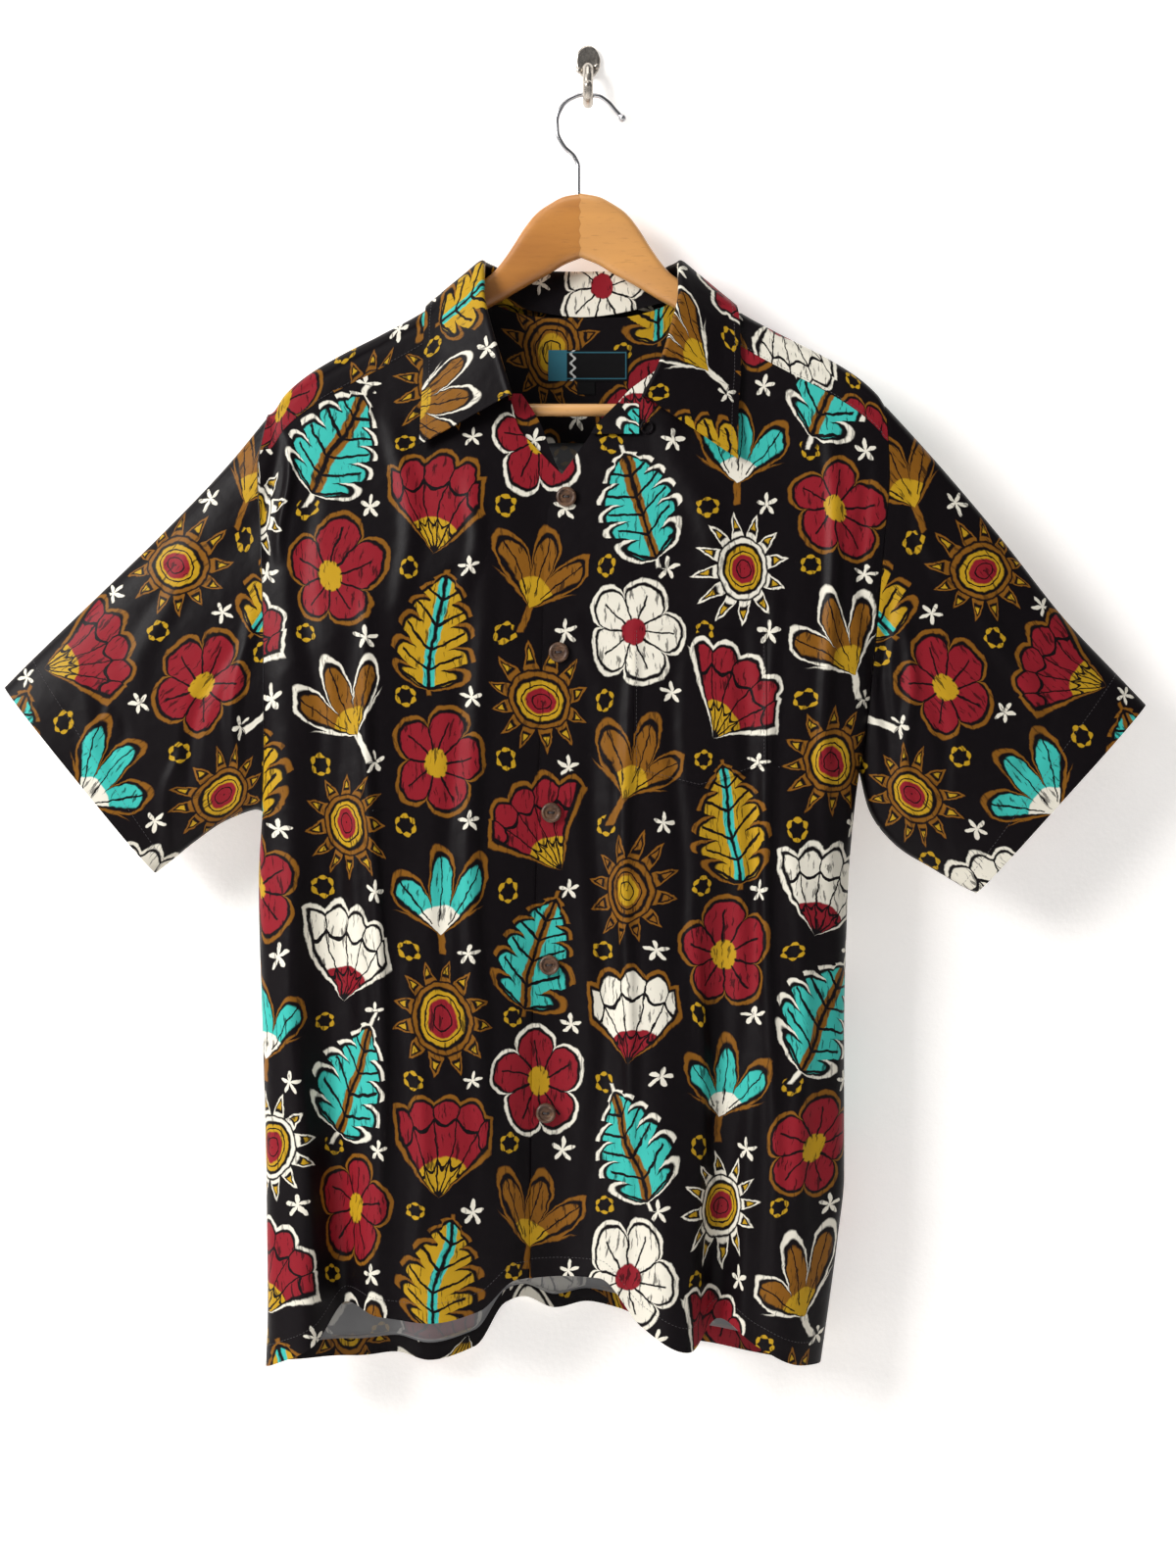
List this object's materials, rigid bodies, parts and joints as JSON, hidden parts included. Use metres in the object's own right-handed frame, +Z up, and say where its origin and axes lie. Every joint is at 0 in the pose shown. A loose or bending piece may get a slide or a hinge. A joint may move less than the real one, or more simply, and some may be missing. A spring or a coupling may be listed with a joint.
{
  "type": "hawaiian shirt on a wooden hanger and a metal wall hook",
  "caption": "Short-sleeved printed shirt with a camp collar, hung on a contoured wooden hanger whose wire hook sits on a small metal wall hook.",
  "frame": {"origin": "centre of the wall plate's flat back face, which lies on the wall", "axes": "+X to the viewer's right, +Y into the wall, +Z up; the shirt's front faces -Y"},
  "size_m": [0.847, 0.0934, 0.9954],
  "materials": {
    "print": "soft, slightly glossy printed rayon, dark ground",
    "button": "polished brown coconut shell",
    "label": "woven damask label, bare",
    "wood": "satin varnish",
    "bar": "satin varnish",
    "wire": "bright drawn wire",
    "nickel": "nickel plated"
  },
  "bodies": {
    "root": {"front_right": "print", "front_left": "print", "facing_right": "print", "facing_left": "print", "back": "print", "yoke_outer": "print", "yoke_inner": "print", "sleeve_right": "print", "sleeve_left": "print", "collar": "print", "collar_loop": "print", "pocket": "print", "button_1": "button", "button_2": "button", "button_3": "button", "button_4": "button", "button_5": "button", "label": "label", "size_tag": "label", "hanger_wood": "wood", "hanger_bar": "bar", "hanger_hook": "wire", "wall_plate": "nickel", "wall_prong": "nickel"}
  },
  "joints": []
}
